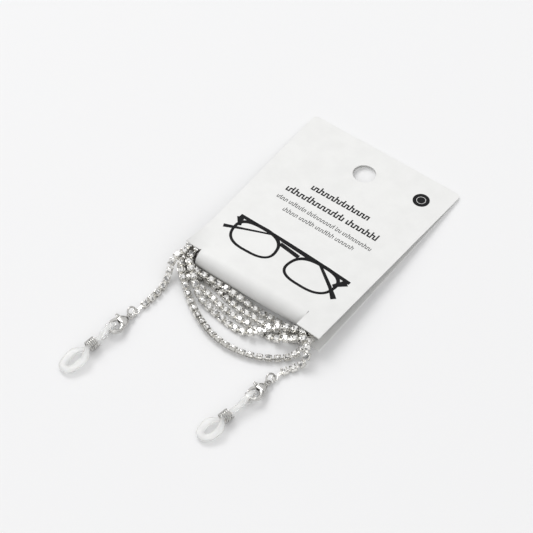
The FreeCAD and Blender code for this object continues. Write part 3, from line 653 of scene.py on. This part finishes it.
def make_connector(side, basis, silver):
    """A crimped strap, waisted towards a wire eye at its far end."""
    near, far = -1.2, CONNECTOR_EYE - CONNECTOR_REACH - 0.05
    outline = [(-0.55, near), (-0.55, -2.2), (-0.34, far), (0.34, far), (0.55, -2.2), (0.55, near)]
    eye = moved(turned_ring(CONNECTOR_EYE, 0.2, 0.2),
                Matrix.Translation((0, -CONNECTOR_REACH, 0)))
    crimp = bevelled_box((-0.5, -2.0, -0.25), (0.5, -1.7, 0.25), 0.06)
    lists = joined(plate(outline, 0.17), crimp, eye)
    return cast_object(f"{side}_end_connector", lists, 0.05, 3, silver, basis)


def make_jump_ring(side, frames, steel):
    """A wire ring whose cut ends meet in a fine seam, leaned over on the line through its eyes."""
    path = []
    for k in range(89):
        turn = math.radians(58.0 + 356.5 * k / 88)
        path.append(Vector((0, RING_RADIUS * math.cos(turn), RING_RADIUS * math.sin(turn))))
    lists = swept(path, round_section(RING_WIRE, 18), up=Vector((1, 0, 0)))
    eye = frames["connector"] @ Vector((0, -CONNECTOR_REACH, 0))
    tail = frames["clasp"].translation
    lean = Matrix.Rotation(math.radians(RING_LEAN[side]), 4, tail - eye)
    leaned = Matrix.Translation(eye) @ lean @ Matrix.Translation(-eye) @ frames["ring"]
    return placed(f"{side}_split_ring", lists, steel, leaned)


def clasp_shank():
    """The clasp's shoulders: y, left edge, right edge and half thickness."""
    stations = [(-0.80, -0.66, 0.66, 0.40), (-1.25, -1.0, 1.0, 0.58), (-1.8, -1.55, 1.5, 0.80),
                (-2.5, -2.05, 2.05, 0.95), (-3.2, -2.2, 2.35, 1.0), (-3.9, -2.15, 2.55, 0.97),
                (-4.35, -2.05, 2.6, 0.86)]
    rings = []
    for y, left, right, half in stations:
        middle, reach = (left + right) / 2, (right - left) / 2
        rings.append([(middle + a, y, b) for a, b in ellipse(reach, half, 32, 0.8)])
    return ring_stack(rings)


def clasp_hook():
    """The arm that leaves the shoulders, rounds the bar and thins to a blunt tip."""
    path = []
    for k in range(71):
        turn = math.radians(62.0 - 208.0 * k / 70)
        path.append(Vector((BAR_SIDE + HOOK_RADIUS * math.cos(turn),
                            HOOK_CENTRE + HOOK_RADIUS * math.sin(turn), 0)))

    def section(share):
        slim = min(1.0, share / 0.55)
        end = math.sqrt(max(0.02, 1.0 - max(0.0, (share - 0.955) / 0.045) ** 2))
        tail = max(0.0, share - 0.55)
        return ellipse((0.95 - 0.33 * slim - 0.2 * tail) * end,
                       (0.95 - 0.29 * slim - 0.3 * tail) * end, 24, 0.9)

    return swept(path, section)


def make_clasp_body(side, basis, steel):
    """Tail eye, slotted shoulders and round hook in one casting."""
    lists = joined(turned_ring(1.0, 0.28, 0.42), clasp_shank(), clasp_hook())
    slot = bevelled_box((-3.2, -5.3, -SLOT_HALF), (0.2, -1.95, SLOT_HALF), 0.05)
    return cast_object(f"{side}_lobster_clasp", lists, 0.07, 5, steel, basis, cut=slot)


def make_lever(side, basis, steel):
    """The pivoting gate with its thumb tab."""
    boss = moved(turned([(0.6, -LEVER_HALF), (0.6, LEVER_HALF)]),
                 Matrix.Translation((*LEVER_PIVOT, 0)))
    tab = bevelled_box((-3.5, -3.35, -0.5), (-3.0, -2.75, 0.5), 0.12)
    lists = joined(plate(LEVER, LEVER_HALF), boss, tab)
    return cast_object(f"{side}_clasp_gate", lists, 0.05, 3, steel, basis)


def make_rivet(side, basis, steel):
    """The lever's pin, with a low domed head on each cheek."""
    head = [(0.02, 1.12), (0.2, 1.10), (0.36, 1.03), (0.42, 0.93), (0.30, 0.9)]
    profile = head + [(r, -z) for r, z in reversed(head)]
    lists = moved(turned(profile), Matrix.Translation((*LEVER_PIVOT, 0)))
    return placed(f"{side}_gate_rivet", lists, steel, basis)


def make_spring(side, basis, steel):
    """The bowed leaf behind the gate."""
    path = [Vector((-0.05 - 0.12 * math.sin(math.pi * k / 12), -2.43 - 1.52 * k / 12, 0))
            for k in range(13)]
    strip = [(0.06, 0.3), (-0.06, 0.3), (-0.06, -0.3), (0.06, -0.3)]
    return placed(f"{side}_gate_spring", swept(path, lambda share: strip), steel, basis)


def share_of(value, start, end):
    """How far the value has gone from start to end, from 0 to 1."""
    return min(1.0, max(0.0, (value - start) / (end - start)))


def eased(value, start, end):
    """The same share, with a soft start and a soft end."""
    share = share_of(value, start, end)
    return share * share * (3.0 - 2.0 * share)


def temple_loop_line(side):
    """Points along the silicone strand, from the clasp's bar round the temple loop and back."""
    lie = ENDS[side]
    roll = math.radians(TEMPLE_ROLL[side])
    wide_x, wide_z = TEMPLE_HALF_WIDTH * math.cos(roll), TEMPLE_HALF_WIDTH * math.sin(roll)
    waist = -lie["waist_end"]
    strand = [(0.0, 2.3, 1.7), (0.0, -1.0, 1.7), (0.45, -4.2, 0.68), (0.5, -5.6, 0.6),
              (0.5, waist + 1.3, 0.6), (0.52, waist, 0.55), (wide_x, waist - 2.3, wide_z),
              (wide_x, waist - 5.0, wide_z), (wide_x * 0.8, -lie["tip"] + 1.5, wide_z * 0.8),
              (wide_x * 0.38, -lie["tip"], wide_z * 0.4)]
    controls = strand + [(-x, y, -z) for x, y, z in reversed(strand)]
    points = spline_points(controls, closed=True)
    for point in points:
        point.z -= TEMPLE_DROOP * eased(point.y, waist - 0.5, -lie["tip"])
    return points


def make_temple_loop(side, basis, silicone):
    """A soft flattened strand: wide over the clasp's bar, gathered in the coil, wide again."""
    path = temple_loop_line(side)
    waist = -ENDS[side]["waist_end"]
    roll = math.radians(TEMPLE_ROLL[side])
    flat_normal = Vector((-math.sin(roll), 0, math.cos(roll)))
    count = len(path)
    rings = []
    across = Vector((1, 0, 0))
    for i, point in enumerate(path):
        ahead = (path[(i + 1) % count] - path[i - 1]).normalized()
        opened = eased(point.y, waist - 0.1, waist - 2.3)
        wanted = flat_normal.cross(ahead) * opened + across * (1.0 - opened)
        across = (wanted - ahead * wanted.dot(ahead)).normalized()
        upward = ahead.cross(across)
        gathered = eased(point.y, -3.0, -5.0)
        half = 0.95 + 0.20 * eased(point.y, -0.5, -2.0) - 0.27 * gathered + 0.57 * opened
        thick = 0.56 + 0.10 * opened
        inward = -0.72 * opened
        rings.append([point + across * (inward + a) + upward * b
                      for a, b in ellipse(half, thick, 24, 0.9)])
    lists = ring_stack(rings, loop=True, twist=12)
    return placed(f"{side}_silicone_loop", lists, silicone, basis, 80)


def make_coil(side, basis, steel):
    """Close-wound wire, its ends cut square."""
    steps = 40
    length = COIL_PITCH * COIL_TURNS
    path = []
    for k in range(COIL_TURNS * steps + 1):
        turn = 2 * math.pi * k / steps
        along = -ENDS[side]["coil_place"] - length / 2 + length * k / (COIL_TURNS * steps)
        path.append(Vector((COIL_RADIUS * math.cos(turn), along, COIL_RADIUS * math.sin(turn))))
    lists = swept(path, round_section(COIL_WIRE, 12), up=Vector((0, 1, 0)))
    return placed(f"{side}_wire_coil", lists, steel, basis)


def build_end(side, last_cup, silver, steel, silicone):
    """Every piece that hangs on one end of the chain."""
    frames = end_frames(side, last_cup)
    made = [
        (make_connector(side, frames["connector"], silver), "carded_chain",
         f"{side}_chain_end_connector", "chain_silver"),
        (make_jump_ring(side, frames, steel), f"{side}_ring",
         f"{side}_jump_ring", "plated_steel"),
        (make_clasp_body(side, frames["clasp"], steel), f"{side}_clasp",
         f"{side}_clasp_body", "plated_steel"),
        (make_lever(side, frames["clasp"], steel), f"{side}_lever",
         f"{side}_clasp_lever", "plated_steel"),
        (make_rivet(side, frames["clasp"], steel), f"{side}_clasp",
         f"{side}_lever_rivet", "plated_steel"),
        (make_spring(side, frames["clasp"], steel), f"{side}_clasp",
         f"{side}_lever_spring", "plated_steel"),
        (make_temple_loop(side, frames["loop"], silicone), f"{side}_loop",
         f"{side}_temple_loop", "silicone"),
        (make_coil(side, frames["loop"], steel), f"{side}_coil",
         f"{side}_coil_slider", "plated_steel"),
    ]
    for piece, body, node, slot in made:
        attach(piece, body)
        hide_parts(node)
    return [row[0] for row in made]


# ---- card

def card_half_width(y):
    """Half the card's width, which narrows a little towards the fold."""
    along = (CARD_TOP - y) / CARD_LENGTH
    return (CARD_WIDTH - CARD_TAPER * along) / 2.0


def card_centre(y):
    """The card's middle line, which slants a little."""
    return CARD_CENTRE - CARD_SLANT * (CARD_TOP - y) / CARD_LENGTH


def card_height(x, y):
    """Height of the front panel's printed face above the table."""
    along = (CARD_TOP - y) / CARD_LENGTH
    across = (x - card_centre(y)) / card_half_width(y)
    flat = 2.0 * CARD_THICKNESS
    height = flat + (FRONT_RISE - flat) * along
    height += FRONT_ARCH * max(along, 0.0) ** 2 * (1.0 - across ** 2)
    return height + EAR_CURL * (share_of(x, *CURL_X) * share_of(y, *CURL_Y)) ** 1.5


def spaced(start, end, count):
    """Evenly spaced places from start up to, but not with, end."""
    return [start + (end - start) * k / count for k in range(count)]


def card_columns():
    """Column places at the fold, and the index of each cut: edges, slit sides and hole sides."""
    centre, half = card_centre(FOLD_Y), card_half_width(FOLD_Y)
    shrink = half / card_half_width(0.0)
    hole_left, hole_right = [centre + (x - card_centre(0.0)) * shrink
                             for x in (-HOLE_RADIUS, HOLE_RADIUS)]
    left, right = centre - half, centre + half
    cuts = [left, left + CORNER_RADIUS, TONGUE_LEFT - SLIT, TONGUE_LEFT, hole_left, hole_right,
            TONGUE_RIGHT, TONGUE_RIGHT + SLIT, right - CORNER_RADIUS, right]
    columns = []
    marks = []
    for start, end, count in zip(cuts, cuts[1:], (6, 8, 1, 24, 16, 20, 1, 10, 6)):
        marks.append(len(columns))
        columns += spaced(start, end, count)
    return columns + [right], marks


def rounded_plan(x, y):
    """A plan point of the sheet, drawn to the round hole's rim and to the round top corners."""
    reach = max(abs(x), abs(y))
    if reach < 2 * HOLE_RADIUS:
        flat = min(1.0, max(0.0, (reach - HOLE_RADIUS - 0.1) / HOLE_RADIUS))
        radius = max(reach, HOLE_RADIUS) if flat else HOLE_RADIUS
        size = radius / math.hypot(x, y)
        return x * size * (1.0 - flat) + x * flat, y * size * (1.0 - flat) + y * flat
    for side in (-1, 1):
        across = (x - card_centre(CARD_TOP)) * side - card_half_width(CARD_TOP) + CORNER_RADIUS
        along = y - CARD_TOP + CORNER_RADIUS
        if across > 0 and along > 0:
            shrink = max(across, along) / math.hypot(across, along)
            x -= side * across * (1.0 - shrink)
            y -= along * (1.0 - shrink)
    return x, y


def card_sheet():
    """The creased sheet's outer face: front panel, tongue round the fold, back panel, ears."""
    columns, marks = card_columns()
    tongue = range(marks[3], marks[6])
    hole = range(marks[4], marks[5])
    panel_rows = spaced(CARD_TOP, CARD_TOP - CORNER_RADIUS, 6)
    panel_rows += spaced(CARD_TOP - CORNER_RADIUS, HOLE_RADIUS, 8)
    panel_rows += spaced(HOLE_RADIUS, -HOLE_RADIUS, 16) + spaced(-HOLE_RADIUS, FOLD_Y, 50)
    rows = [("front", y) for y in panel_rows + [FOLD_Y]]
    rows += [("fold", angle) for angle in spaced(0.0, 180.0, 26)[1:]]
    rows += [("back", y) for y in [FOLD_Y] + panel_rows[::-1]]
    verts, index = [], {}

    def vertex(kind, place, column):
        key = (kind, round(place, 4), column)
        if key not in index:
            y = FOLD_Y if kind == "fold" else place
            if y < FOLD_Y and columns[column] < TONGUE_LEFT:
                outward_share = (TONGUE_LEFT - columns[column]) / EAR_WIDTH
                y = FOLD_Y + (y - FOLD_Y) * (1.0 - EAR_SLANT * (1.0 - outward_share))
            share = (columns[column] - card_centre(FOLD_Y)) / card_half_width(FOLD_Y)
            x = card_centre(y) + share * card_half_width(y)
            if kind == "fold":
                radius = card_height(x, FOLD_Y) / 2.0
                turn = math.radians(place)
                point = (x, FOLD_Y - radius * math.sin(turn), radius + radius * math.cos(turn))
            else:
                x, y = rounded_plan(x, y)
                point = (x, y, card_height(x, y) if kind == "front" else 0.0)
            index[key] = len(verts)
            verts.append(point)
        return index[key]

    faces = []

    def strip(first, second, wanted):
        for column in wanted:
            faces.append([vertex(*first, column), vertex(*second, column),
                          vertex(*second, column + 1), vertex(*first, column + 1)])

    every = range(len(columns) - 1)
    for first, second in zip(rows, rows[1:]):
        if "fold" in (first[0], second[0]):
            strip(first, second, tongue)
        else:
            beside_hole = max(abs(first[1]), abs(second[1])) <= HOLE_RADIUS
            strip(first, second, [c for c in every if not (beside_hole and c in hole)])
    ears = {"left": [c for c in every if c < marks[2]],
            "right": [c for c in every if c >= marks[7]]}
    for side, wanted in ears.items():
        for first, second in zip(EAR_ROWS[side], EAR_ROWS[side][1:]):
            strip(("front", first), ("front", second), wanted)
            strip(("back", second), ("back", first), wanted)
    return verts, faces


def apply_modifiers(obj):
    """Put the evaluated mesh in the place of the base mesh, with no modifier left."""
    graph = bpy.context.evaluated_depsgraph_get()
    mesh = bpy.data.meshes.new_from_object(obj.evaluated_get(graph))
    obj.modifiers.clear()
    obj.data = mesh


def outward(mesh):
    """Turn every face of a closed mesh to point outwards."""
    bm = bmesh.new()
    bm.from_mesh(mesh)
    bmesh.ops.recalc_face_normals(bm, faces=bm.faces[:])
    bm.to_mesh(mesh)
    bm.free()


def cut_away(obj, lists):
    """Cut a closed tool shape out of an object that is kept in millimetres meanwhile."""
    tool = add_object("tool", *enlarged(lists), obj.data.materials[0])
    outward(tool.data)
    cut = obj.modifiers.new("cut", "BOOLEAN")
    cut.operation = "DIFFERENCE"
    cut.solver = "EXACT"
    cut.object = tool
    apply_modifiers(obj)
    bpy.data.objects.remove(tool)


def build_card(board):
    """The whole folded card as one sheet of board."""
    card = add_object("card_sheet", *enlarged(card_sheet()), board)
    thick = card.modifiers.new("thickness", "SOLIDIFY")
    thick.thickness = CARD_THICKNESS
    thick.offset = -1.0
    thick.use_even_offset = True
    apply_modifiers(card)
    outward(card.data)
    card.data.transform(Matrix.Scale(MM, 4))
    card.data.shade_smooth()
    card.data.set_sharp_from_angle(angle=math.radians(35))
    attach(card, "carded_chain")
    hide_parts("card_front_panel", "card_fold_spine", "card_back_panel")


# ---- printing

def ink_ribbon(points, widths, closed=False):
    """A flat stroke along plan points, as a strip of quads with the given widths."""
    count = len(points)
    left, right = [], []
    for i, (x, y) in enumerate(points):
        before = points[i - 1] if closed or i > 0 else points[i]
        after = points[(i + 1) % count] if closed or i < count - 1 else points[i]
        dx, dy = after[0] - before[0], after[1] - before[1]
        size = math.hypot(dx, dy) or 1.0
        nx, ny = -dy / size * widths[i] / 2, dx / size * widths[i] / 2
        left.append((x + nx, y + ny))
        right.append((x - nx, y - ny))
    plan = left + right
    faces = []
    for i in range(count if closed else count - 1):
        j = (i + 1) % count
        faces.append([i, count + i, count + j, j])
    return plan, faces


def ink_line(start, end, width, end_width, steps):
    """A straight stroke, cut into short quads so that it can follow the card's bow."""
    points = [(start[0] + (end[0] - start[0]) * k / steps,
               start[1] + (end[1] - start[1]) * k / steps) for k in range(steps + 1)]
    widths = [width + (end_width - width) * k / steps for k in range(steps + 1)]
    return ink_ribbon(points, widths)


def lens_outline(centre, half_width, half_height, droop):
    """A soft-cornered lens shape, its lower half fuller towards one side."""
    points = []
    for k in range(LENS_SIDES):
        turn = 2 * math.pi * k / LENS_SIDES
        c, s = math.cos(turn), math.sin(turn)
        x = half_width * math.copysign(abs(c) ** 0.72, c)
        y = half_height * math.copysign(abs(s) ** 0.80, s)
        x += droop * y * 0.16
        points.append((centre[0] + x, centre[1] + y))
    return points


def spectacles_print():
    """A plain line drawing of folded spectacles."""
    strokes = []
    for side, centre in ((-1, (-11.4, -47.2)), (1, (12.4, -48.6))):
        outline = lens_outline(centre, 8.7, 5.9, side)
        widths = [1.0 + 0.45 * max(0.0, math.sin(2 * math.pi * k / LENS_SIDES))
                  for k in range(LENS_SIDES)]
        strokes.append(ink_ribbon(outline, widths, closed=True))
    strokes.append(ink_line((-21.6, -40.9), (24.0, -43.2), 1.35, 1.35, 30))
    strokes.append(ink_line((-21.2, -41.4), (-19.2, -45.0), 2.6, 1.1, 6))
    strokes.append(ink_line((23.2, -43.7), (20.2, -47.6), 2.6, 1.1, 6))
    strokes.append(ink_line((-3.6, -43.6), (4.6, -44.7), 1.6, 1.6, 8))
    strokes.append(ink_line((-23.6, -48.0), (-17.0, -45.4), 1.5, 0.9, 6))
    strokes.append(ink_line((-17.0, -45.4), (-8.2, -41.9), 0.9, 0.7, 8))
    strokes.append(ink_line((12.2, -43.0), (20.2, -48.8), 1.0, 1.3, 8))
    strokes.append(ink_line((20.2, -48.8), (23.6, -51.9), 1.3, 2.0, 5))
    strokes.append(ink_line((-4.0, -42.4), (9.5, -43.4), 0.45, 0.45, 8))
    return joined(*strokes)


def greeked_line(start, end, y, slope, tall, weight, words):
    """Placeholder words: an even up-and-down scribble with a few taller strokes, no letters."""
    blocks = []
    total = sum(words) + WORD_GAP * (len(words) - 1)
    step = (end - start) / total
    x = start
    for word in words:
        for stroke in range(word + 1):
            base = y + slope * (x - start)
            top = tall if random.random() < 0.22 else tall * LOW_LETTER
            blocks.append(ink_line((x, base), (x, base + top), weight, weight, 3))
            if stroke < word:
                level = base + (tall * LOW_LETTER - weight / 2 if stroke % 2 else weight / 2)
                blocks.append(ink_line((x, level), (x + step, level), weight, weight, 2))
                x += step
        x += WORD_GAP * step
    return joined(*blocks)


def round_mark(centre, radius):
    """A plain ringed dot in place of any printed mark."""
    rings = []
    for scale, width in ((0.78, 0.44), (0.25, 0.5)):
        points = [(centre[0] + radius * scale * math.cos(2 * math.pi * k / 40),
                   centre[1] + radius * scale * math.sin(2 * math.pi * k / 40))
                  for k in range(40)]
        rings.append(ink_ribbon(points, [radius * width] * 40, closed=True))
    return joined(*rings)


def build_print(ink):
    """Printed shapes laid on the card's front face, each as a thin film."""
    drawings = {
        "print_heading_one": greeked_line(-10.0, 12.6, -17.0, 0.0, 2.9, 0.50, (22,)),
        "print_heading_two": greeked_line(-16.6, 19.8, -22.4, -0.01, 2.9, 0.50, (21, 11)),
        "print_note_one": greeked_line(-17.2, 21.0, -26.8, -0.02, 1.9, 0.20, (6, 10, 16, 3, 17)),
        "print_note_two": greeked_line(-12.0, 16.2, -30.7, -0.01, 1.9, 0.20, (8, 8, 10, 10)),
        "print_round_mark": round_mark((21.8, 1.9), 2.9),
        "print_spectacles": spectacles_print(),
    }
    for name, (plan, faces) in drawings.items():
        verts = [(x, y, card_height(x, y) + INK_LIFT) for x, y in plan]
        piece = add_object(name, verts, faces, ink)
        film = piece.modifiers.new("film", "SOLIDIFY")
        film.thickness = INK_THICKNESS * MM
        film.offset = -1.0
        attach(piece, "carded_chain")


# ---- stage, light and camera

CAMERA_TARGET = Vector((-4.54, -50.0, 0.0))
CAMERA_AZIMUTH = 35.90
CAMERA_ELEVATION = 52.96
CAMERA_DISTANCE = 968.4
CAMERA_LENS = 198.4


def build_camera():
    """A long lens, looking down on the object from its lower left."""
    azimuth, elevation = math.radians(CAMERA_AZIMUTH), math.radians(CAMERA_ELEVATION)
    look = Vector((-math.sin(azimuth) * math.cos(elevation),
                   math.cos(azimuth) * math.cos(elevation), -math.sin(elevation)))
    data = bpy.data.cameras.new("camera")
    data.lens = CAMERA_LENS
    data.sensor_width = 36.0
    data.clip_start = 0.05
    data.clip_end = 20.0
    camera = bpy.data.objects.new("camera", data)
    bpy.context.scene.collection.objects.link(camera)
    camera.location = (CAMERA_TARGET - look * CAMERA_DISTANCE) * MM
    camera.rotation_mode = "QUATERNION"
    camera.rotation_quaternion = look.to_track_quat("-Z", "Y")
    bpy.context.scene.camera = camera


def area_light(name, place, target, size, power):
    """A square soft light that faces its target."""
    data = bpy.data.lights.new(name, "AREA")
    data.shape = "RECTANGLE"
    data.size = size
    data.size_y = size
    data.energy = power
    light = bpy.data.objects.new(name, data)
    bpy.context.scene.collection.objects.link(light)
    light.location = place
    aim = Vector(target) - Vector(place)
    light.rotation_mode = "QUATERNION"
    light.rotation_quaternion = aim.to_track_quat("-Z", "Y")


def build_stage():
    """A plain pale floor under soft studio light, with a dark band low in the sky for the metal."""
    material, tree, shader = new_material("floor", Roughness=0.7, Specular_IOR_Level=0.2)
    shader.inputs["Base Color"].default_value = (0.86, 0.86, 0.865, 1)
    size = 3000.0
    floor = add_object("floor", [(-size, -size, 0), (size, -size, 0), (size, size, 0),
                                 (-size, size, 0)], [[0, 1, 2, 3]], material)
    world = bpy.data.worlds.new("studio")
    world.use_nodes = True
    tree = world.node_tree
    background = tree.nodes["Background"]
    background.inputs["Strength"].default_value = 0.80
    coords = add_node(tree, "ShaderNodeTexCoord")
    split = add_node(tree, "ShaderNodeSeparateXYZ")
    ramp = add_node(tree, "ShaderNodeValToRGB")
    ramp.color_ramp.elements[0].color = (0.9, 0.9, 0.9, 1)
    ramp.color_ramp.elements[0].position = 0.09
    ramp.color_ramp.elements[1].position = 0.35
    for position in (0.13, 0.22):
        ramp.color_ramp.elements.new(position).color = (0.05, 0.05, 0.05, 1)
    tree.links.new(coords.outputs["Generated"], split.inputs["Vector"])
    tree.links.new(split.outputs["Z"], ramp.inputs["Fac"])
    tree.links.new(ramp.outputs["Color"], background.inputs["Color"])
    bpy.context.scene.world = world
    bpy.context.scene.view_settings.view_transform = "Standard"
    centre = Vector((0.0, -0.055, 0.0))
    area_light("key", (-1.8, 0.84, 2.28), centre, 1.5, 36.0)
    area_light("fill", (1.0, -1.8, 1.6), centre, 1.4, 4.0)


# ---- assembly

board = card_material()
ink = ink_material()
silver = metal_material("chain_silver", (0.66, 0.65, 0.62), (0.90, 0.885, 0.85), 0.10, 0.22, 700.0)
steel = metal_material("plated_steel", (0.50, 0.495, 0.48), (0.72, 0.71, 0.69), 0.08, 0.18, 500.0)
stone = stone_material()
silicone = silicone_material()

build_camera()
build_stage()
cups, stones, links, cup_centres = build_chain(silver, stone)
on_chain = [stones, links]
on_chain += build_end("left", cup_centres[0], silver, steel, silicone)
on_chain += build_end("right", cup_centres[-1], silver, steel, silicone)
build_card(board)
build_print(ink)
